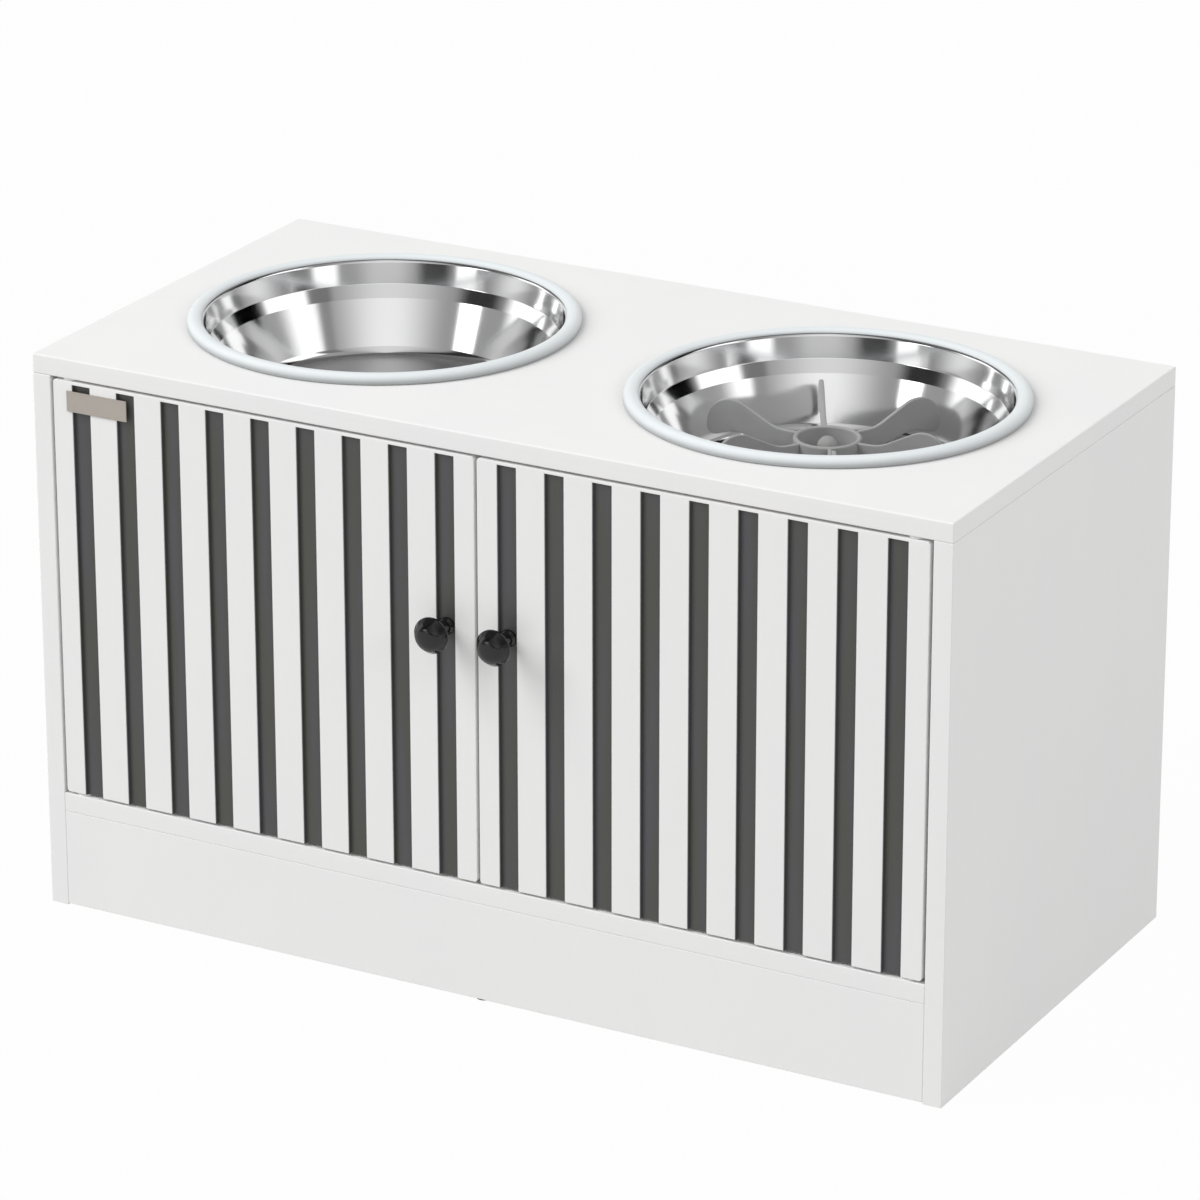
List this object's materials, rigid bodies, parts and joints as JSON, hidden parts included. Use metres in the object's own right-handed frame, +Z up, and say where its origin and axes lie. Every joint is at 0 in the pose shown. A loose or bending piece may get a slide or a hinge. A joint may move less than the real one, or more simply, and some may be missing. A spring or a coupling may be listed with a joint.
{
  "type": "raised pet feeder cabinet",
  "caption": "Low cabinet with grooved hinged doors, and steel feeding bowls that drop through its top on soft rim rings, one with a slow-feed insert.",
  "frame": {"origin": "on the floor, in the middle of the whole footprint, with the knobs counted in the depth", "axes": "+Z up, +X along the cabinet's width to the right as seen from the doors, +Y from the doors to the back"},
  "size_m": [0.6, 0.324, 0.3582],
  "materials": {
    "white_board": "white laminate over particle board, satin",
    "back_board": "thin white-faced fibreboard",
    "beech": "plain beech, fluted",
    "plated_steel": "zinc-plated steel",
    "cast_zinc": "die-cast zinc",
    "glide_plastic": "dark grey plastic",
    "white_plastic": "white moulded plastic",
    "ferrite": "sintered ferrite",
    "bush_nylon": "natural nylon",
    "groove_liner": "dark grey, slightly mottled",
    "black_knob": "glossy black lacquer",
    "champagne_plate": "fine satin, champagne",
    "bowl_steel": "polished stainless steel",
    "rim_silicone": "pale blue-grey silicone, matt",
    "insert_plastic": "grey moulded plastic, satin",
    "cup_silicone": "grey silicone, matt"
  },
  "bodies": {
    "cabinet": {"top_panel": "white_board", "left_side_panel": "white_board", "right_side_panel": "white_board", "bottom_shelf": "white_board", "front_plinth": "white_board", "back_panel": "back_board", "wood_dowels": "beech", "cam_bolts": "plated_steel", "cam_discs": "cast_zinc", "back_nails": "plated_steel", "centre_glide": "glide_plastic", "catch_housing": "white_plastic", "catch_magnets": "ferrite", "catch_screws": "plated_steel", "left_upper_bush": "bush_nylon", "left_lower_bush": "bush_nylon", "right_upper_bush": "bush_nylon", "right_lower_bush": "bush_nylon"},
    "left_door": {"left_door_panel": "white_board", "left_groove_liners": "groove_liner", "left_knob": "black_knob", "left_knob_screw": "plated_steel", "label_plate": "champagne_plate", "left_strike_plate": "plated_steel", "left_strike_screws": "plated_steel", "left_upper_pin": "plated_steel", "left_lower_pin": "plated_steel"},
    "right_door": {"right_door_panel": "white_board", "right_groove_liners": "groove_liner", "right_knob": "black_knob", "right_knob_screw": "plated_steel", "right_strike_plate": "plated_steel", "right_strike_screws": "plated_steel", "right_upper_pin": "plated_steel", "right_lower_pin": "plated_steel"},
    "left_feeding_bowl": {"left_bowl": "bowl_steel", "left_bowl_ring": "rim_silicone"},
    "right_feeding_bowl": {"right_bowl": "bowl_steel", "right_bowl_ring": "rim_silicone"},
    "slow_feed_insert": {"feeder_insert": "insert_plastic", "insert_suction_cup": "cup_silicone"}
  },
  "joints": [
    {"name": "left_door_hinge", "type": "hinge", "parent": "cabinet", "child": "left_door", "pos_m": [-0.276, -0.132, 0.207], "axis": [0, 0, -1], "range_deg": [0, 110]},
    {"name": "right_door_hinge", "type": "hinge", "parent": "cabinet", "child": "right_door", "pos_m": [0.276, -0.132, 0.207], "axis": [0, 0, 1], "range_deg": [0, 110]},
    {"name": "left_bowl_lift", "type": "slide", "parent": "cabinet", "child": "left_feeding_bowl", "axis": [0, 0, 1], "range_m": [0, 0.09]},
    {"name": "right_bowl_lift", "type": "slide", "parent": "cabinet", "child": "right_feeding_bowl", "axis": [0, 0, 1], "range_m": [0, 0.09]},
    {"name": "feeder_insert_lift", "type": "slide", "parent": "right_feeding_bowl", "child": "slow_feed_insert", "axis": [0, 0, 1], "range_m": [0, 0.08]}
  ]
}
